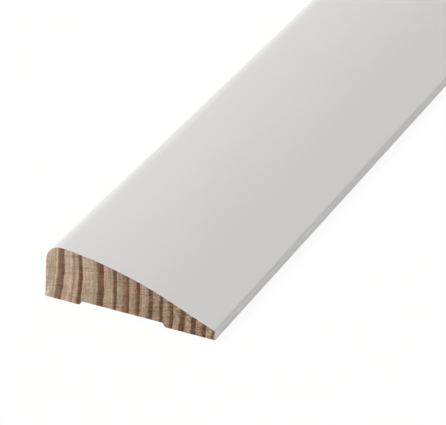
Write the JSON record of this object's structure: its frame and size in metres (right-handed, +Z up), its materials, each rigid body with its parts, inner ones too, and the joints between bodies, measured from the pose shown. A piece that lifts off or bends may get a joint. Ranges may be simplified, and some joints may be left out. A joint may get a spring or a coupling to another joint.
{
  "type": "architrave moulding",
  "caption": "Primed pine architrave moulding with a thick rounded outer edge, a face that sweeps down to a thin inner edge, and a relieved back. It trims a door or window opening.",
  "frame": {"origin": "middle of the back, halfway along the length, on the plane of the two lands that the moulding lies on", "axes": "+Y along the length, +X across the section from the thick outer edge to the thin inner edge, +Z up out of the face"},
  "size_m": [0.057, 2.1, 0.018],
  "materials": {
    "primed_pine": "matt white primer on the face and both edges, bare planed pine on the back, bare sawn end grain"
  },
  "bodies": {
    "root": {"architrave": "primed_pine"}
  },
  "joints": []
}
